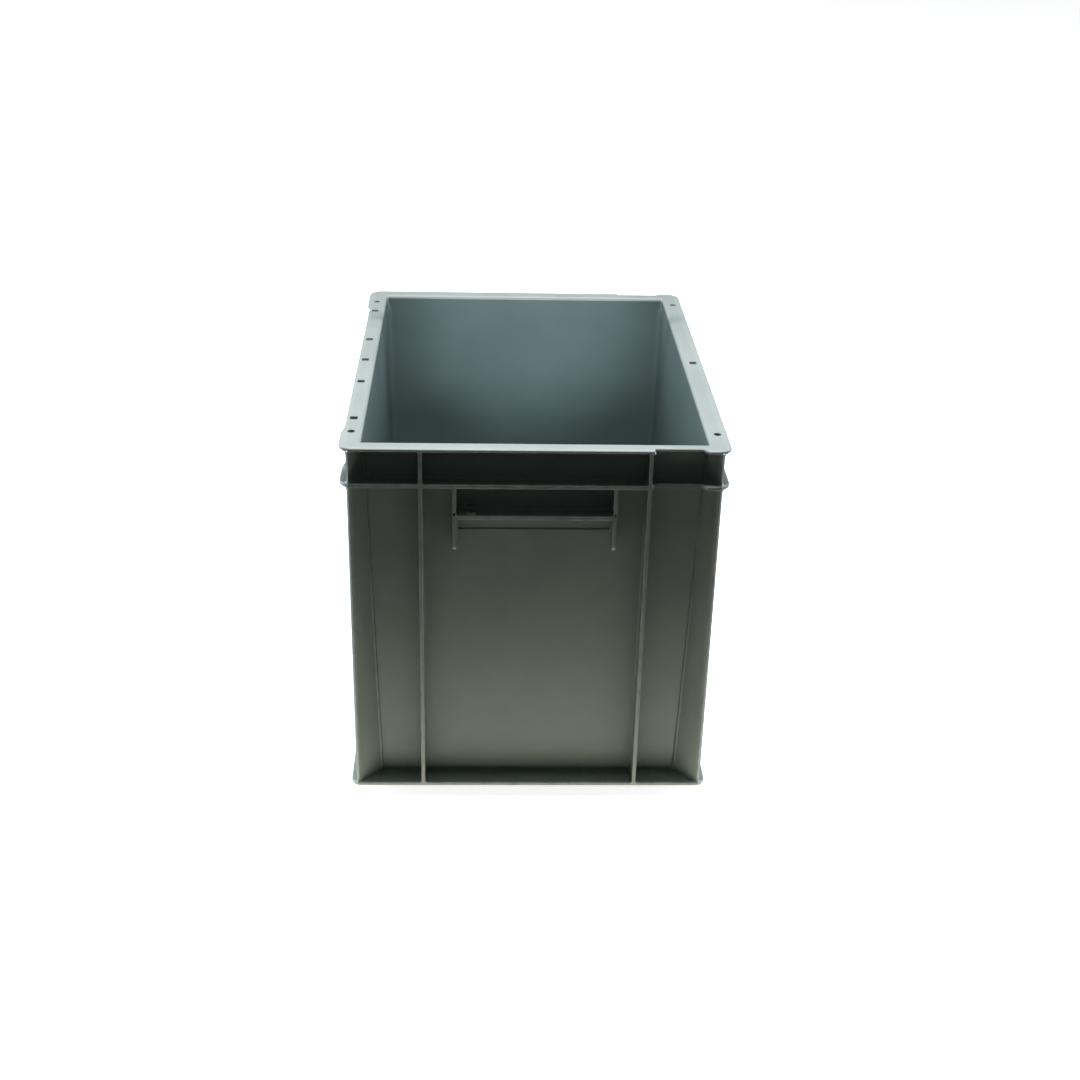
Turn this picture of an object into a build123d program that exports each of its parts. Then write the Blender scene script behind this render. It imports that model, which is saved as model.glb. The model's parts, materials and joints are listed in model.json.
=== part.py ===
from build123d import *
import os

# Stacking storage crate, injection moulded in one piece, modelled feature by feature.
# Every wall, flange side, fin and rib is a solid of its own that meets its neighbours face to face.
# Frame: +Z up, +Y along the length, origin on the ground under the middle of the crate.
# The front short side faces -Y; the long side with the lid hinge slots faces -X.
# All sizes are in millimetres.

# Outside size
WIDTH = 300.0
LENGTH = 400.0
HEIGHT = 315.0
RIM_CORNER = 11.0

# Tub: outer size at the base flange and at the rim, corner radius and wall
BASE_LEVEL = 10.0
TUB_AT_BASE = (262.0, 356.0)
TUB_AT_RIM = (272.0, 376.0)
TUB_CORNER = 8.0
WALL = 2.5

# Flanges: the rim at the top, the band below it and the flange round the base
PLATE = 3.0
BAND_DROP = 29.5
RIM_MOUTH_CORNER = 1.5
BASE_INSET = 2.0
BASE_CORNER = 8.0

# Shallow setbacks in the rim and band: how deep, where each starts and ends, how long its two ramps are
LEFT_SETBACK = 2.2
LEFT_SETBACK_SPAN = (-168.0, 154.0)
LEFT_SETBACK_RAMPS = (16.0, 6.0)
END_SETBACK_SPAN = (90.0, 133.0)
END_SETBACK_RAMPS = (1.0, 6.0)
FRONT_SETBACK = 5.0
BACK_SETBACK = 3.0

# Holes in the rim: lid hinge slots on the left, one latch slot on the right, four round corner holes
SLOT_LINE = 142.0
SLOT_SIZE = 6.0
HINGE_SLOTS = (-137.0, -54.0, 0.0, 54.0, 137.0)
CORNER_HOLE_RADIUS = 3.0
CORNER_HOLE_Y = 165.0

# Ribs and fins
RIB = 3.0
END_RIB_X = 88.0
SIDE_RIB_Y = 95.0
RIB_DRAFT = 1.9
SIDE_RIB_INSET = 2.6
SIDE_RIB_DRAFT = 1.0
FIN_TIP = (143.5, 197.0)
FIN_DRAFT = 1.0
FIN_FLARE = 3.0

# Handles: a ledge between two short ribs, under the band, on each short side
HANDLE_RIB_X = 62.0
HANDLE_RIB_DROP = 55.5
HANDLE_RIB_TOE = 6.0
HANDLE_TOE_DEPTH = 10.0
LEDGE_DROP = 26.0
POCKET_DROP = 43.5
POCKET_DEPTH = 0.7
CARD_SLOT = (6.0, 4.0)
CARD_SLOT_CENTRE = (-48.5, -195.0)

# Underside: a stacking foot below the tub and a grid of low ribs inside it
FOOT_WALL = 3.0
GRID_RIB = 2.0
GRID_GAP = 2.0
GRID_X = (-65.0, 0.0, 65.0)
GRID_Y = (-120.0, -60.0, 0.0, 60.0, 120.0)

# Levels worked out from the sizes above
FLOOR_TOP = BASE_LEVEL + PLATE
RIM_UNDER = HEIGHT - PLATE
BAND_TOP = HEIGHT - BAND_DROP
BAND_UNDER = BAND_TOP - PLATE
REACH = 2 * LENGTH


def tub_size(height, inset=0.0):
    """Outer X and Y size of the drafted tub at a height, moved in by inset on every side."""
    share = (height - BASE_LEVEL) / (HEIGHT - BASE_LEVEL)
    return [low + share * (high - low) - 2 * inset for low, high in zip(TUB_AT_BASE, TUB_AT_RIM)]


def tub_block(low, high, inset=0.0):
    """Solid block with the tub's drafted faces and round corners, between two heights."""
    corner = TUB_CORNER - inset
    ends = [Pos(0, 0, z) * RectangleRounded(*tub_size(z, inset), corner) for z in (low, high)]
    return loft([end.face() for end in ends], ruled=True)


def straight_zone(axis, low, high):
    """Space across which the walls facing along the other axis are flat, between the corners."""
    ends = []
    for height in (low, high):
        size = tub_size(height, TUB_CORNER)
        size[1 - axis] = REACH
        ends.append(Pos(0, 0, height) * Rectangle(*size))
    return loft([end.face() for end in ends], ruled=True)


def plate(face, low, thickness=PLATE):
    """Flat plate of the given outline, standing on the given height."""
    return extrude(Pos(0, 0, low) * face, amount=thickness)


def setback(turn, edge, span, depth, ramps):
    """Strip cut from one edge of the rim outline, with a ramp at each end, turned to its side."""
    start, end = span
    start_ramp, end_ramp = ramps
    strip = Polygon(
        (start, edge + depth), (start, edge), (start + start_ramp, edge - depth),
        (end - end_ramp, edge - depth), (end, edge), (end, edge + depth), align=None)
    return Rot(0, 0, turn) * strip


def rim_outline():
    """Outline that the rim and the band share: round corner pads and shallow setbacks between."""
    outline = RectangleRounded(WIDTH, LENGTH, RIM_CORNER)
    outline -= setback(90, WIDTH / 2, LEFT_SETBACK_SPAN, LEFT_SETBACK, LEFT_SETBACK_RAMPS)
    outline -= setback(0, LENGTH / 2, END_SETBACK_SPAN, BACK_SETBACK, END_SETBACK_RAMPS)
    front = setback(0, LENGTH / 2, END_SETBACK_SPAN, FRONT_SETBACK, END_SETBACK_RAMPS)
    return outline - mirror(front, Plane.XZ)


def base_outline():
    """Outline of the flange round the base, a little inside the rim's."""
    return RectangleRounded(WIDTH - 2 * BASE_INSET, LENGTH - 2 * BASE_INSET, BASE_CORNER)


def mitred_sides(ring, inner_size):
    """Four sides of a ring, parted on 45 degree mitres through the corners of its opening."""
    half_x, half_y = (side / 2 for side in inner_size)
    apex = half_y - half_x
    far_x, far_y = REACH, REACH + apex
    end_wedge = Polygon((0, -apex), (-far_x, -far_y), (far_x, -far_y), align=None)
    side_wedge = Polygon((0, -apex), (0, apex), (-far_x, far_y), (-far_x, -far_y), align=None)
    tall_end = extrude(end_wedge, amount=REACH)
    tall_side = extrude(side_wedge, amount=REACH)
    return {
        "front": ring & tall_end,
        "back": ring & mirror(tall_end, Plane.XZ),
        "left": ring & tall_side,
        "right": ring & mirror(tall_side, Plane.YZ),
    }


def round_hole(x, y):
    """Upright cylinder that drills the rim at one place."""
    return Pos(x, y, HEIGHT) * Cylinder(CORNER_HOLE_RADIUS, 3 * PLATE)


def square_slot(x, y):
    """Upright block that cuts a lid slot through the rim at one place."""
    return Pos(x, y, HEIGHT) * Box(SLOT_SIZE, SLOT_SIZE, 3 * PLATE)


def rim_ring():
    """Top flange with its mouth, lid slots and corner holes."""
    mouth = RectangleRounded(*tub_size(HEIGHT, WALL), RIM_MOUTH_CORNER)
    ring = plate(rim_outline() - mouth, RIM_UNDER)
    for y in HINGE_SLOTS:
        ring -= square_slot(-SLOT_LINE, y)
    ring -= square_slot(SLOT_LINE, 0)
    for x in (-SLOT_LINE, SLOT_LINE):
        for y in (-CORNER_HOLE_Y, CORNER_HOLE_Y):
            ring -= round_hole(x, y)
    return ring


def end_rib(x, low, high):
    """Upright rib on the front wall, from the wall out to the edge of the flanges."""
    edge = LENGTH / 2
    low_edge = edge - RIB_DRAFT if low < BAND_UNDER else edge
    outline = Polygon((0, high), (-edge, high), (-low_edge, low), (0, low), align=None)
    return Pos(x - RIB / 2, 0, 0) * extrude(Plane.YZ * outline, amount=RIB)


def side_rib(y, low, high):
    """Upright rib on the left wall, from the wall out to just inside the flange edge."""
    edge = WIDTH / 2 - SIDE_RIB_INSET
    low_edge = edge - SIDE_RIB_DRAFT if low < BAND_UNDER else edge
    outline = Polygon((0, high), (-edge, high), (-low_edge, low), (0, low), align=None)
    return Pos(0, y + RIB / 2, 0) * extrude(Plane.XZ * outline, amount=RIB)


def corner_fin(low, high):
    """Diagonal fin at the back right corner, flaring out under the flange above it."""
    draft = FIN_DRAFT if low < BAND_UNDER else 0.0
    flare = FIN_FLARE * 0.5**0.5
    outline = Polygon(
        (-REACH / 4, low), (-draft, low), (0, high - 2 * FIN_FLARE),
        (flare, high), (-REACH / 4, high), align=None)
    fin = Pos(0, RIB / 2, 0) * extrude(Plane.XZ * outline, amount=RIB)
    return Pos(*FIN_TIP, 0) * Rot(0, 0, 45) * fin


def handle_rib(x):
    """Short rib beside the front handle, its lower end sloping back into the wall."""
    edge = LENGTH / 2
    toe = BAND_UNDER - HANDLE_RIB_DROP
    outline = Polygon(
        (0, BAND_UNDER), (-edge, BAND_UNDER), (-edge, toe + HANDLE_RIB_TOE),
        (-edge + HANDLE_TOE_DEPTH, toe), (0, toe), align=None)
    return Pos(x - RIB / 2, 0, 0) * extrude(Plane.YZ * outline, amount=RIB)


def handle_ledge():
    """Grip ledge across the front between the handle ribs, with its card slot."""
    top = BAND_TOP - LEDGE_DROP
    span = 2 * HANDLE_RIB_X - RIB
    ledge = Pos(0, -LENGTH / 4, top - PLATE / 2) * Box(span, LENGTH / 2, PLATE)
    return ledge - Pos(*CARD_SLOT_CENTRE, top) * Box(*CARD_SLOT, 3 * PLATE)


def handle_pocket(tub):
    """Skin of the front wall that the shallow hollow behind the handle takes away."""
    low = BAND_TOP - POCKET_DROP
    zone = Pos(0, -LENGTH / 4, (low + BAND_UNDER) / 2)
    zone *= Box(2 * HANDLE_RIB_X - RIB, LENGTH / 2, BAND_UNDER - low)
    return zone & (tub - tub_block(BASE_LEVEL, HEIGHT, POCKET_DEPTH))


def save(name, shape):
    """Write one node, named for the feature it holds."""
    export_step(shape, f"parts/{name}.step")


def save_corners(name, shape):
    """Write a feature of the back right corner at all four corners."""
    front = mirror(shape, Plane.XZ)
    save(f"{name}_back_right", shape)
    save(f"{name}_back_left", mirror(shape, Plane.YZ))
    save(f"{name}_front_right", front)
    save(f"{name}_front_left", mirror(front, Plane.YZ))


def save_both_ends(name, shape):
    """Write a feature of the front side and its mirror image on the back side."""
    save(name.replace("SIDE", "front"), shape)
    save(name.replace("SIDE", "back"), mirror(shape, Plane.XZ))


def save_both_sides(name, shape):
    """Write a feature of the left side and its mirror image on the right side."""
    save(name.replace("SIDE", "left"), shape)
    save(name.replace("SIDE", "right"), mirror(shape, Plane.YZ))


os.makedirs("parts", exist_ok=True)
tub = tub_block(BASE_LEVEL, HEIGHT)

# Tub: floor, four walls and four round corners
save("floor_panel", tub_block(BASE_LEVEL, FLOOR_TOP))
shell = tub_block(FLOOR_TOP, RIM_UNDER) - tub_block(FLOOR_TOP, RIM_UNDER, WALL)
across = straight_zone(0, FLOOR_TOP, RIM_UNDER)
along = straight_zone(1, FLOOR_TOP, RIM_UNDER)
pocket = handle_pocket(tub)
wall_front, wall_back = (shell & across).solids().sort_by(Axis.Y)
wall_left, wall_right = (shell & along).solids().sort_by(Axis.X)
save("wall_front", wall_front - pocket)
save("wall_back", wall_back - mirror(pocket, Plane.XZ))
save("wall_left", wall_left)
save("wall_right", wall_right)
corners = (shell - across - along).solids()
save_corners("tub_corner", corners.sort_by(lambda solid: solid.center().X + solid.center().Y)[-1])

# Flanges, each in four mitred sides
rings = {
    "rim": (rim_ring(), tub_size(HEIGHT, WALL)),
    "band": (plate(rim_outline(), BAND_UNDER) - tub, tub_size(BAND_TOP)),
    "base_flange": (plate(base_outline(), BASE_LEVEL) - tub, tub_size(BASE_LEVEL)),
    "foot": (tub_block(0, BASE_LEVEL) - tub_block(0, BASE_LEVEL, FOOT_WALL), tub_size(0, FOOT_WALL)),
}
for name, (ring, inner_size) in rings.items():
    for side, piece in mitred_sides(ring, inner_size).items():
        save(f"{name}_{side}", piece)

# Fins and ribs: one run from the base flange to the band, one from the band to the rim
for run, low, high in (("lower", FLOOR_TOP, BAND_UNDER), ("upper", BAND_TOP, RIM_UNDER)):
    save_corners(f"{run}_fin", corner_fin(low, high) - tub)
    for place, x in (("left", -END_RIB_X), ("right", END_RIB_X)):
        save_both_ends(f"{run}_rib_SIDE_{place}", end_rib(x, low, high) - tub)
    for place, y in (("front", -SIDE_RIB_Y), ("back", SIDE_RIB_Y)):
        save_both_sides(f"{run}_rib_SIDE_{place}", side_rib(y, low, high) - tub)

# Handles
hollowed_tub = tub - pocket
for place, x in (("left", -HANDLE_RIB_X), ("right", HANDLE_RIB_X)):
    save_both_ends(f"handle_rib_SIDE_{place}", handle_rib(x) - tub)
save_both_ends("handle_ledge_SIDE", handle_ledge() - hollowed_tub)

# Grid of ribs under the floor, kept just above the ground inside the stacking foot
grid_space = tub_block(GRID_GAP, BASE_LEVEL, FOOT_WALL)
middle = (GRID_GAP + BASE_LEVEL) / 2
tall = BASE_LEVEL - GRID_GAP
lengthwise = Compound([Pos(x, 0, middle) * Box(GRID_RIB, LENGTH, tall) for x in GRID_X])
crosswise = Compound([Pos(0, y, middle) * Box(WIDTH, GRID_RIB, tall) for y in GRID_Y])
save("base_ribs_lengthwise", lengthwise & grid_space)
save("base_ribs_crosswise", (crosswise & grid_space) - lengthwise)
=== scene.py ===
"""Looks of a grey moulded stacking crate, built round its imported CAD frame.

The crate is one polypropylene moulding. Its tub, rim, band, base flange and foot are drawn here as
one continuous skin with true fillets. Its ribs, fins and handles are blades that flare into it, and
two crossing sets of bars stiffen its base. Everything is in metres, in the frame of the CAD: +Z up,
the short front side towards -Y.
"""
import json
import logging
import math
from dataclasses import dataclass, field, replace
from enum import Enum
from typing import Callable, ClassVar, Iterable

import bmesh
import bpy
from mathutils import Matrix, Vector


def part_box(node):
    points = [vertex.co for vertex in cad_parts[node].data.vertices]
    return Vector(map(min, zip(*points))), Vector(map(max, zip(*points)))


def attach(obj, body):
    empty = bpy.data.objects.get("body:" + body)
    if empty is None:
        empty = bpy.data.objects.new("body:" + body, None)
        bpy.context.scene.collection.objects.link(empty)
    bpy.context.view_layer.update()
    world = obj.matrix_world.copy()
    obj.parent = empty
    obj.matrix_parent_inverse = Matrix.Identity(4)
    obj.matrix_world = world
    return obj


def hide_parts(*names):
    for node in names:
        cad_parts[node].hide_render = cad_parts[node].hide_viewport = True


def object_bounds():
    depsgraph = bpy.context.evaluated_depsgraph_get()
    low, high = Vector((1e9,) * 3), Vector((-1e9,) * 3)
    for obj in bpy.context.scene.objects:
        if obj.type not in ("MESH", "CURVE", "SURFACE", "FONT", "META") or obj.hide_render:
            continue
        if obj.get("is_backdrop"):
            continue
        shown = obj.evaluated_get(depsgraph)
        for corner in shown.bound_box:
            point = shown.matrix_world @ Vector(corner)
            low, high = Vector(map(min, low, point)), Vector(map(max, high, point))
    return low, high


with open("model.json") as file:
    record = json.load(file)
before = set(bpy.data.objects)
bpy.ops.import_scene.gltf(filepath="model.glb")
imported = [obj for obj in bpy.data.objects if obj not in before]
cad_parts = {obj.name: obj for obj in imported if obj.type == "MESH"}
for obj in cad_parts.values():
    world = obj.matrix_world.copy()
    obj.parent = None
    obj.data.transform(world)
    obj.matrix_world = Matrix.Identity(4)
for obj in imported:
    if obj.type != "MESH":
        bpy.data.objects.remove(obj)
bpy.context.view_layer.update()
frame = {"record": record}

Mesh = bmesh.types.BMesh
Piece = bpy.types.Object
Tree = bpy.types.NodeTree
Socket = bpy.types.NodeSocket

log = logging.getLogger("crate")
MM = 0.001
CAD_BODY = "root"
HALF_ROOT = math.sqrt(0.5)
ENDS = ("front", "back")
SIDES = ("left", "right")
SIGNS = (-1, 1)
# Places along a fillet, as shares of its reach, close together where it bends most.
FLARE_SHARES = (0.0, 0.08, 0.25, 0.5, 0.75, 1.0)
SHARP_ANGLE = 50.0


# ---------------------------------------------------------------- mesh tools


class Loft:
    """A skin drawn through rings that all have the same number of points.

    The first ring is capped; every later ring is the open edge extruded and moved into place.
    """

    def __init__(self, first_ring: list[Vector]) -> None:
        """Start the skin.

        Args:
            first_ring: Corner points of the first cap, in order round it.
        """
        self.mesh = bmesh.new()
        self.station = self.mesh.verts.layers.int.new("station")
        made = bmesh.ops.create_circle(self.mesh, cap_ends=True, segments=len(first_ring), radius=1.0)
        for number, (vert, place) in enumerate(zip(made["verts"], first_ring)):
            vert[self.station] = number
            vert.co = place
        self.open_edges = list(self.mesh.edges)

    def grow(self, ring: list[Vector]) -> None:
        """Draw the skin on to the next ring.

        Args:
            ring: Points of the ring, in the order of the first ring.
        """
        made = bmesh.ops.extrude_edge_only(self.mesh, edges=self.open_edges)["geom"]
        for vert in (item for item in made if isinstance(item, bmesh.types.BMVert)):
            vert.co = ring[vert[self.station]]
        self.open_edges = [
            item for item in made
            if isinstance(item, bmesh.types.BMEdge) and item.is_boundary
        ]

    def close(self) -> Mesh:
        """Cap the last ring.

        Returns:
            The closed mesh, with its faces pointing outwards.
        """
        bmesh.ops.contextual_create(self.mesh, geom=self.open_edges)
        bmesh.ops.recalc_face_normals(self.mesh, faces=self.mesh.faces)
        return self.mesh


def quarter(steps: int) -> list[float]:
    """Angles from 0 to a right angle, both ends included."""
    return [math.pi / 2 * step / steps for step in range(steps + 1)]


def arc(steps: int) -> list[tuple[float, float]]:
    """Points of a quarter round, as its distances from its two faces in shares of its radius."""
    return [(1 - math.sin(angle), 1 - math.cos(angle)) for angle in quarter(steps)]


def block(low: Vector, high: Vector, rounding: float = 0.0, segments: int = 2) -> Mesh:
    """A box with rounded edges.

    Args:
        low: Lowest corner.
        high: Highest corner.
        rounding: Radius of its edges.
        segments: Facets across each rounded edge.

    Returns:
        The box as a mesh of its own.
    """
    mesh = bmesh.new()
    made = bmesh.ops.create_cube(mesh, size=1.0)
    bmesh.ops.scale(mesh, vec=high - low, verts=made["verts"])
    bmesh.ops.translate(mesh, vec=(high + low) / 2, verts=made["verts"])
    if rounding:
        bmesh.ops.bevel(
            mesh, geom=mesh.edges, offset=rounding, segments=segments, profile=0.5,
            affect="EDGES", material=-1)
    return mesh


def absorb(target: Mesh, extra: Mesh) -> None:
    """Add one mesh to another and free it.

    Args:
        target: The mesh that grows.
        extra: The mesh that is added, and freed.
    """
    loose = bpy.data.meshes.new("loose")
    extra.to_mesh(loose)
    extra.free()
    target.from_mesh(loose)
    bpy.data.meshes.remove(loose)


def as_object(name: str, mesh: Mesh) -> Piece:
    """Turn a finished mesh into an object at the origin.

    Args:
        name: Name of the object.
        mesh: The mesh, which is freed.

    Returns:
        The linked object.
    """
    data = bpy.data.meshes.new(name)
    mesh.to_mesh(data)
    mesh.free()
    piece = bpy.data.objects.new(name, data)
    bpy.context.scene.collection.objects.link(piece)
    return piece


def carve(piece: Piece, cutter_mesh: Mesh) -> None:
    """Cut one mesh out of a piece for good.

    Args:
        piece: The piece to cut.
        cutter_mesh: Closed shapes to take away, which is freed.
    """
    cutter = as_object("cutter", cutter_mesh)
    cut = piece.modifiers.new("cut", "BOOLEAN")
    cut.operation = "DIFFERENCE"
    cut.solver = "EXACT"
    cut.object = cutter
    evaluated = piece.evaluated_get(bpy.context.evaluated_depsgraph_get())
    carved = bpy.data.meshes.new_from_object(evaluated)
    piece.modifiers.remove(cut)
    whole = piece.data
    piece.data = carved
    carved.name = piece.name
    bpy.data.meshes.remove(whole)
    bpy.data.objects.remove(cutter)


def finish_piece(piece: Piece, nodes: Iterable[str], finish: "Finish",
                 rounding: float = 0.0) -> None:
    """Dress a piece and tie it to the frame.

    Args:
        piece: The finished object.
        nodes: CAD nodes that it stands for.
        finish: The finish it is dressed in.
        rounding: Radius of the edges that are still sharp, or none.
    """
    if rounding:
        soften = piece.modifiers.new("soft edges", "BEVEL")
        soften.width = rounding
        soften.segments = 2
        soften.limit_method = "ANGLE"
        soften.angle_limit = math.radians(SHARP_ANGLE)
    piece.data.shade_smooth()
    level = piece.modifiers.new("flat faces stay flat", "WEIGHTED_NORMAL")
    level.mode = "FACE_AREA"
    level.keep_sharp = True
    piece.data.materials.clear()
    piece.data.materials.append(finish.value.material())
    names = list(nodes)
    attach(piece, CAD_BODY)
    if names:
        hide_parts(*names)
    log.info("%s: %d faces, stands for %d nodes", piece.name, len(piece.data.polygons), len(names))


# ---------------------------------------------------------------- finishes


def srgb(code: str) -> tuple[float, float, float, float]:
    """Linear colour of an sRGB hex code.

    Args:
        code: Six hex digits after a hash sign.

    Returns:
        Linear red, green, blue and full alpha.
    """
    channels = [int(code[start:start + 2], 16) / 255 for start in (1, 3, 5)]
    linear = [c / 12.92 if c <= 0.04045 else ((c + 0.055) / 1.055) ** 2.4 for c in channels]
    return (*linear, 1.0)


def add_node(tree: Tree, kind: str, settings: dict | None = None,
             links: dict | None = None) -> bpy.types.Node:
    """Add one node to a tree.

    Args:
        tree: The node tree.
        kind: Blender's identifier of the node.
        settings: Properties by name, or values of inputs by name or number.
        links: Output sockets by the name or number of the input they feed.

    Returns:
        The node.
    """
    node = tree.nodes.new(kind)
    for key, value in (settings or {}).items():
        if isinstance(key, str) and hasattr(node, key):
            setattr(node, key, value)
        else:
            node.inputs[key].default_value = value
    for key, socket in (links or {}).items():
        tree.links.new(socket, node.inputs[key])
    return node


@dataclass(frozen=True)
class MouldedPlastic:
    """Injection-moulded polypropylene, coloured in the mass.

    Attributes:
        name: Name of the material, in a moulder's words.
        colour: Body colour.
        pale: Colour of the paler clouds in it.
        deep: Colour of the deeper clouds in it.
        rubbed_and_highlit: Colour of the paled outermost faces and edges, partly real rubbing and
            partly a painted highlight where the edges catch the light.
        roughness: Mean roughness.
        spread: How far the roughness strays from its mean.
        grain_mm: Width of one grain of the mould's texture.
        grain_depth_mm: Height of that texture.
        scuffs: Strength of the fine rub marks, 0 to 1.
        wear_and_highlight: How far the outermost edges are paled, 0 to 1: partly real rubbing, partly a
            painted highlight.
        rub_run: How the rub marks are drawn out along X, Y and Z; smaller is longer.
        turn: How far the piece's faces are turned about Z from the axes, in degrees.
        OUTLINE: One over the half sizes of the outermost faces, along X and Y; height has no say.
        OUTERMOST: Shares of those half sizes over which the paling, real rubbing and painted highlight,
            sets in.
        ROUNDED: How square to an axis a face that counts as flat is, and one that counts as rounded.
        FLAT_WEAR_AND_HIGHLIGHT: How much a flat outermost face is paled against a rounded edge, as
            rubbing and as painted highlight.
        PATCH_WEAR_AND_HIGHLIGHT: How much the least paled patches are paled against the most paled
            ones.
    """

    name: str
    colour: str
    pale: str
    deep: str
    rubbed_and_highlit: str
    roughness: float
    spread: float
    grain_mm: float
    grain_depth_mm: float
    scuffs: float
    wear_and_highlight: float
    rub_run: tuple[float, float, float] = (1.0, 1.0, 1 / 30)
    turn: float = 0.0
    OUTLINE: ClassVar[tuple[float, float, float]] = (1 / 0.1474, 1 / 0.2, 0.0)
    OUTERMOST: ClassVar[tuple[float, float]] = (0.975, 0.985)
    ROUNDED: ClassVar[tuple[float, float]] = (0.98, 0.8)
    FLAT_WEAR_AND_HIGHLIGHT: ClassVar[float] = 0.4
    PATCH_WEAR_AND_HIGHLIGHT: ClassVar[float] = 0.55

    def material(self) -> bpy.types.Material:
        """Make the material, once, and then share it.

        Returns:
            The material.
        """
        known = bpy.data.materials.get(self.name)
        if known:
            return known
        made = bpy.data.materials.new(self.name)
        made.use_nodes = True
        tree = made.node_tree
        tree.nodes.clear()
        spots = add_node(tree, "ShaderNodeTexCoord").outputs
        place = spots["Object"]
        clouds = self.clouds(tree, place)
        rubs = self.rub_marks(tree, place)
        colour = self.body_colour(tree, clouds, rubs)
        # Outermost faces and rounded edges are paled: partly real rubbing, partly a painted highlight
        # where the edges catch the light.
        if self.wear_and_highlight:
            colour = self.worn_and_highlit(tree, colour, place, spots["Normal"])
        shine = add_node(
            tree, "ShaderNodeMapRange",
            {"To Min": self.roughness - self.spread, "To Max": self.roughness + self.spread},
            {"Value": clouds}).outputs["Result"]
        shader = add_node(
            tree, "ShaderNodeBsdfPrincipled", {"IOR": 1.49, "Metallic": 0.0},
            {"Base Color": colour, "Roughness": shine, "Normal": self.texture(tree, place)})
        add_node(tree, "ShaderNodeOutputMaterial", links={"Surface": shader.outputs["BSDF"]})
        return made

    def clouds(self, tree: Tree, place: Socket) -> Socket:
        """Slow mottling, 60 mm across, where the pigment flowed unevenly."""
        return add_node(
            tree, "ShaderNodeTexNoise", {"Scale": 1 / (60 * MM), "Detail": 4.0, "Roughness": 0.55},
            {"Vector": place}).outputs["Fac"]

    def rub_marks(self, tree: Tree, place: Socket) -> Socket:
        """Thin rub marks, 2 mm apart and up to 60 mm long, broken up by a coarser noise.

        Args:
            tree: The material's node tree.
            place: Object coordinates.

        Returns:
            How rubbed each spot is, 0 to 1.
        """
        drawn = add_node(
            tree, "ShaderNodeMapping", {"Scale": self.rub_run}, {"Vector": place}).outputs["Vector"]
        lines = add_node(
            tree, "ShaderNodeTexNoise", {"Scale": 1 / (2 * MM), "Detail": 2.0}, {"Vector": drawn})
        fine = add_node(
            tree, "ShaderNodeMapRange", {"From Min": 0.62, "From Max": 0.78},
            {"Value": lines.outputs["Fac"]})
        patches = add_node(
            tree, "ShaderNodeTexNoise", {"Scale": 1 / (45 * MM), "Detail": 2.0}, {"Vector": place})
        broken = add_node(
            tree, "ShaderNodeMapRange", {"From Min": 0.48, "From Max": 0.66},
            {"Value": patches.outputs["Fac"]})
        both = add_node(
            tree, "ShaderNodeMath", {"operation": "MULTIPLY"},
            {0: fine.outputs["Result"], 1: broken.outputs["Result"]})
        return add_node(
            tree, "ShaderNodeMath", {"operation": "MULTIPLY", 1: self.scuffs},
            {0: both.outputs["Value"]}).outputs["Value"]

    def body_colour(self, tree: Tree, clouds: Socket,
                    rubs: Socket) -> Socket:
        """Body colour from deep to pale with the clouds, whitened a little by rub marks.

        Args:
            tree: The material's node tree.
            clouds: The mottling.
            rubs: The rub marks.

        Returns:
            The colour.
        """
        ramp = add_node(tree, "ShaderNodeValToRGB", links={"Fac": clouds})
        stops = ramp.color_ramp.elements
        stops[0].position, stops[0].color = 0.3, srgb(self.deep)
        stops[1].position, stops[1].color = 0.7, srgb(self.pale)
        stops.new(0.5).color = srgb(self.colour)
        return add_node(
            tree, "ShaderNodeMix", {"data_type": "RGBA", 7: srgb(self.pale)},
            {0: rubs, 6: ramp.outputs["Color"]}).outputs[2]

    def worn_and_highlit(self, tree: Tree, colour: Socket, place: Socket,
             facing: Socket) -> Socket:
        """Paler plastic on the crate's outermost faces, most at rounded edges, in knocks 9 mm apart:
        partly real rubbing, partly a painted highlight that stands in for the light the edges catch.

        Args:
            tree: The material's node tree.
            colour: Colour before the paling.
            place: Object coordinates.
            facing: Normal in object coordinates.

        Returns:
            The colour with the paled edges, rubbing and painted highlight together.
        """
        outwards = add_node(
            tree, "ShaderNodeVectorMath", {"operation": "ABSOLUTE"}, {0: place}).outputs["Vector"]
        shares = add_node(
            tree, "ShaderNodeVectorMath", {"operation": "MULTIPLY", 1: self.OUTLINE}, {0: outwards})
        reach = add_node(tree, "ShaderNodeSeparateXYZ", links={"Vector": shares.outputs["Vector"]})
        furthest = add_node(
            tree, "ShaderNodeMath", {"operation": "MAXIMUM"},
            {0: reach.outputs["X"], 1: reach.outputs["Y"]})
        outermost = add_node(
            tree, "ShaderNodeMapRange", {"From Min": self.OUTERMOST[0], "From Max": self.OUTERMOST[1]},
            {"Value": furthest.outputs["Value"]})
        squared = add_node(
            tree, "ShaderNodeVectorRotate",
            {"rotation_type": "Z_AXIS", "Angle": math.radians(self.turn)},
            {"Vector": facing})
        turned = add_node(
            tree, "ShaderNodeVectorMath", {"operation": "ABSOLUTE"}, {0: squared.outputs["Vector"]})
        split = add_node(tree, "ShaderNodeSeparateXYZ", links={"Vector": turned.outputs["Vector"]})
        flatter = add_node(
            tree, "ShaderNodeMath", {"operation": "MAXIMUM"},
            {0: split.outputs["X"], 1: split.outputs["Y"]})
        flattest = add_node(
            tree, "ShaderNodeMath", {"operation": "MAXIMUM"},
            {0: flatter.outputs["Value"], 1: split.outputs["Z"]})
        rounded = add_node(
            tree, "ShaderNodeMapRange",
            {"From Min": self.ROUNDED[0], "From Max": self.ROUNDED[1], "To Min": self.FLAT_WEAR_AND_HIGHLIGHT},
            {"Value": flattest.outputs["Value"]})
        chatter = add_node(
            tree, "ShaderNodeTexNoise", {"Scale": 1 / (9 * MM), "Detail": 3.0}, {"Vector": place})
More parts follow.
